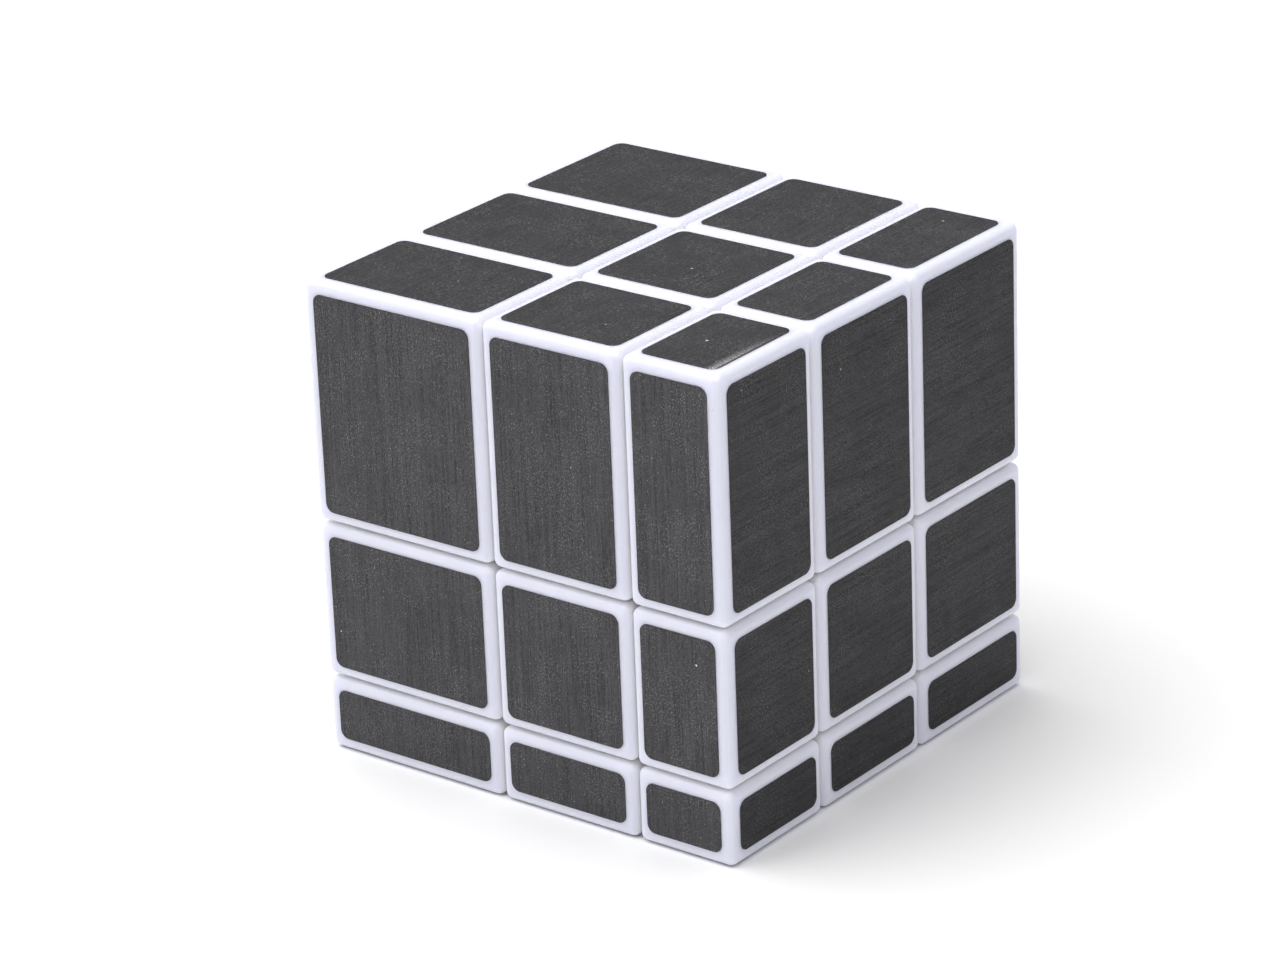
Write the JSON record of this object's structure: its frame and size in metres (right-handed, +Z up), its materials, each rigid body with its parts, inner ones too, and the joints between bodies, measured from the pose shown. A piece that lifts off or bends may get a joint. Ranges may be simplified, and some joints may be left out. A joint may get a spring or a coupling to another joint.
{
  "type": "mirror block cube",
  "caption": "Cube-shaped turning puzzle with dark foil-faced white blocks of unequal sizes that twist in layers on a sprung core.",
  "frame": {"origin": "middle of the cube's underside, with the puzzle solved", "axes": "+Z up through the thickest layer, -Y out of the front face, +X out of the right face; the core's centre, where every turning axis crosses, is at x +6, y -2, z +18.5 mm"},
  "size_m": [0.057, 0.057, 0.057],
  "materials": {
    "block_plastic": "satin to glossy moulded white plastic with a faint cool tint",
    "core_plastic": "matt moulded plastic",
    "screw_steel": "zinc-plated steel",
    "spring_steel": "drawn spring wire",
    "foil": "thin charcoal self-adhesive foil with fine brushed lines"
  },
  "bodies": {
    "core": {"core": "core_plastic", "screw_left": "screw_steel", "screw_front": "screw_steel", "screw_bottom": "screw_steel", "screw_top": "screw_steel", "screw_back": "screw_steel", "screw_right": "screw_steel", "spring_left": "spring_steel", "spring_front": "spring_steel", "spring_bottom": "spring_steel", "spring_top": "spring_steel", "spring_back": "spring_steel", "spring_right": "spring_steel", "washer_left": "screw_steel", "washer_front": "screw_steel", "washer_bottom": "screw_steel", "washer_top": "screw_steel", "washer_back": "screw_steel", "washer_right": "screw_steel"},
    "centre_left": {"centre_left": "block_plastic", "cap_left": "block_plastic"},
    "centre_front": {"centre_front": "block_plastic", "cap_front": "block_plastic"},
    "centre_bottom": {"centre_bottom": "block_plastic", "cap_bottom": "block_plastic"},
    "centre_top": {"centre_top": "block_plastic", "cap_top": "block_plastic"},
    "centre_back": {"centre_back": "block_plastic", "cap_back": "block_plastic"},
    "centre_right": {"centre_right": "block_plastic", "cap_right": "block_plastic"},
    "edge_front_left": {"edge_front_left": "block_plastic"},
    "edge_bottom_left": {"edge_bottom_left": "block_plastic"},
    "edge_top_left": {"edge_top_left": "block_plastic"},
    "edge_back_left": {"edge_back_left": "block_plastic"},
    "edge_bottom_front": {"edge_bottom_front": "block_plastic"},
    "edge_top_front": {"edge_top_front": "block_plastic"},
    "edge_bottom_back": {"edge_bottom_back": "block_plastic"},
    "edge_top_back": {"edge_top_back": "block_plastic"},
    "edge_front_right": {"edge_front_right": "block_plastic"},
    "edge_bottom_right": {"edge_bottom_right": "block_plastic"},
    "edge_top_right": {"edge_top_right": "block_plastic"},
    "edge_back_right": {"edge_back_right": "block_plastic"},
    "corner_bottom_front_left": {"corner_bottom_front_left": "block_plastic"},
    "corner_top_front_left": {"corner_top_front_left": "block_plastic"},
    "corner_bottom_back_left": {"corner_bottom_back_left": "block_plastic"},
    "corner_top_back_left": {"corner_top_back_left": "block_plastic"},
    "corner_bottom_front_right": {"corner_bottom_front_right": "block_plastic"},
    "corner_top_front_right": {"corner_top_front_right": "block_plastic"},
    "corner_bottom_back_right": {"corner_bottom_back_right": "block_plastic"},
    "corner_top_back_right": {"corner_top_back_right": "block_plastic"}
  },
  "joints": [
    {"name": "turn_left", "type": "hinge", "parent": "core", "child": "centre_left", "pos_m": [0.006, -0.002, 0.0185], "axis": [1, 0, 0], "continuous": true},
    {"name": "turn_front", "type": "hinge", "parent": "core", "child": "centre_front", "pos_m": [0.006, -0.002, 0.0185], "axis": [0, 1, 0], "continuous": true},
    {"name": "turn_bottom", "type": "hinge", "parent": "core", "child": "centre_bottom", "pos_m": [0.006, -0.002, 0.0185], "axis": [0, 0, 1], "continuous": true},
    {"name": "turn_top", "type": "hinge", "parent": "core", "child": "centre_top", "pos_m": [0.006, -0.002, 0.0185], "axis": [0, 0, 1], "continuous": true},
    {"name": "turn_back", "type": "hinge", "parent": "core", "child": "centre_back", "pos_m": [0.006, -0.002, 0.0185], "axis": [0, 1, 0], "continuous": true},
    {"name": "turn_right", "type": "hinge", "parent": "core", "child": "centre_right", "pos_m": [0.006, -0.002, 0.0185], "axis": [1, 0, 0], "continuous": true},
    {"name": "edge_front_left_with_front", "type": "hinge", "parent": "centre_left", "child": "edge_front_left", "pos_m": [0.006, -0.002, 0.0185], "axis": [0, 1, 0], "continuous": true},
    {"name": "edge_bottom_left_with_left", "type": "hinge", "parent": "centre_bottom", "child": "edge_bottom_left", "pos_m": [0.006, -0.002, 0.0185], "axis": [1, 0, 0], "continuous": true},
    {"name": "edge_top_left_with_left", "type": "hinge", "parent": "centre_top", "child": "edge_top_left", "pos_m": [0.006, -0.002, 0.0185], "axis": [1, 0, 0], "continuous": true},
    {"name": "edge_back_left_with_back", "type": "hinge", "parent": "centre_left", "child": "edge_back_left", "pos_m": [0.006, -0.002, 0.0185], "axis": [0, 1, 0], "continuous": true},
    {"name": "edge_bottom_front_with_bottom", "type": "hinge", "parent": "centre_front", "child": "edge_bottom_front", "pos_m": [0.006, -0.002, 0.0185], "axis": [0, 0, 1], "continuous": true},
    {"name": "edge_top_front_with_top", "type": "hinge", "parent": "centre_front", "child": "edge_top_front", "pos_m": [0.006, -0.002, 0.0185], "axis": [0, 0, 1], "continuous": true},
    {"name": "edge_bottom_back_with_bottom", "type": "hinge", "parent": "centre_back", "child": "edge_bottom_back", "pos_m": [0.006, -0.002, 0.0185], "axis": [0, 0, 1], "continuous": true},
    {"name": "edge_top_back_with_top", "type": "hinge", "parent": "centre_back", "child": "edge_top_back", "pos_m": [0.006, -0.002, 0.0185], "axis": [0, 0, 1], "continuous": true},
    {"name": "edge_front_right_with_front", "type": "hinge", "parent": "centre_right", "child": "edge_front_right", "pos_m": [0.006, -0.002, 0.0185], "axis": [0, 1, 0], "continuous": true},
    {"name": "edge_bottom_right_with_right", "type": "hinge", "parent": "centre_bottom", "child": "edge_bottom_right", "pos_m": [0.006, -0.002, 0.0185], "axis": [1, 0, 0], "continuous": true},
    {"name": "edge_top_right_with_right", "type": "hinge", "parent": "centre_top", "child": "edge_top_right", "pos_m": [0.006, -0.002, 0.0185], "axis": [1, 0, 0], "continuous": true},
    {"name": "edge_back_right_with_back", "type": "hinge", "parent": "centre_right", "child": "edge_back_right", "pos_m": [0.006, -0.002, 0.0185], "axis": [0, 1, 0], "continuous": true},
    {"name": "corner_bottom_front_left_with_bottom", "type": "hinge", "parent": "edge_front_left", "child": "corner_bottom_front_left", "pos_m": [0.006, -0.002, 0.0185], "axis": [0, 0, 1], "continuous": true},
    {"name": "corner_top_front_left_with_top", "type": "hinge", "parent": "edge_front_left", "child": "corner_top_front_left", "pos_m": [0.006, -0.002, 0.0185], "axis": [0, 0, 1], "continuous": true},
    {"name": "corner_bottom_back_left_with_bottom", "type": "hinge", "parent": "edge_back_left", "child": "corner_bottom_back_left", "pos_m": [0.006, -0.002, 0.0185], "axis": [0, 0, 1], "continuous": true},
    {"name": "corner_top_back_left_with_top", "type": "hinge", "parent": "edge_back_left", "child": "corner_top_back_left", "pos_m": [0.006, -0.002, 0.0185], "axis": [0, 0, 1], "continuous": true},
    {"name": "corner_bottom_front_right_with_bottom", "type": "hinge", "parent": "edge_front_right", "child": "corner_bottom_front_right", "pos_m": [0.006, -0.002, 0.0185], "axis": [0, 0, 1], "continuous": true},
    {"name": "corner_top_front_right_with_top", "type": "hinge", "parent": "edge_front_right", "child": "corner_top_front_right", "pos_m": [0.006, -0.002, 0.0185], "axis": [0, 0, 1], "continuous": true},
    {"name": "corner_bottom_back_right_with_bottom", "type": "hinge", "parent": "edge_back_right", "child": "corner_bottom_back_right", "pos_m": [0.006, -0.002, 0.0185], "axis": [0, 0, 1], "continuous": true},
    {"name": "corner_top_back_right_with_top", "type": "hinge", "parent": "edge_back_right", "child": "corner_top_back_right", "pos_m": [0.006, -0.002, 0.0185], "axis": [0, 0, 1], "continuous": true}
  ],
  "couplings": [
    {"joint": "edge_front_left_with_front", "follows": "turn_front", "ratio": 1},
    {"joint": "edge_bottom_left_with_left", "follows": "turn_left", "ratio": 1},
    {"joint": "edge_top_left_with_left", "follows": "turn_left", "ratio": 1},
    {"joint": "edge_back_left_with_back", "follows": "turn_back", "ratio": 1},
    {"joint": "edge_bottom_front_with_bottom", "follows": "turn_bottom", "ratio": 1},
    {"joint": "edge_top_front_with_top", "follows": "turn_top", "ratio": 1},
    {"joint": "edge_bottom_back_with_bottom", "follows": "turn_bottom", "ratio": 1},
    {"joint": "edge_top_back_with_top", "follows": "turn_top", "ratio": 1},
    {"joint": "edge_front_right_with_front", "follows": "turn_front", "ratio": 1},
    {"joint": "edge_bottom_right_with_right", "follows": "turn_right", "ratio": 1},
    {"joint": "edge_top_right_with_right", "follows": "turn_right", "ratio": 1},
    {"joint": "edge_back_right_with_back", "follows": "turn_back", "ratio": 1},
    {"joint": "corner_bottom_front_left_with_bottom", "follows": "turn_bottom", "ratio": 1},
    {"joint": "corner_top_front_left_with_top", "follows": "turn_top", "ratio": 1},
    {"joint": "corner_bottom_back_left_with_bottom", "follows": "turn_bottom", "ratio": 1},
    {"joint": "corner_top_back_left_with_top", "follows": "turn_top", "ratio": 1},
    {"joint": "corner_bottom_front_right_with_bottom", "follows": "turn_bottom", "ratio": 1},
    {"joint": "corner_top_front_right_with_top", "follows": "turn_top", "ratio": 1},
    {"joint": "corner_bottom_back_right_with_bottom", "follows": "turn_bottom", "ratio": 1},
    {"joint": "corner_top_back_right_with_top", "follows": "turn_top", "ratio": 1}
  ]
}
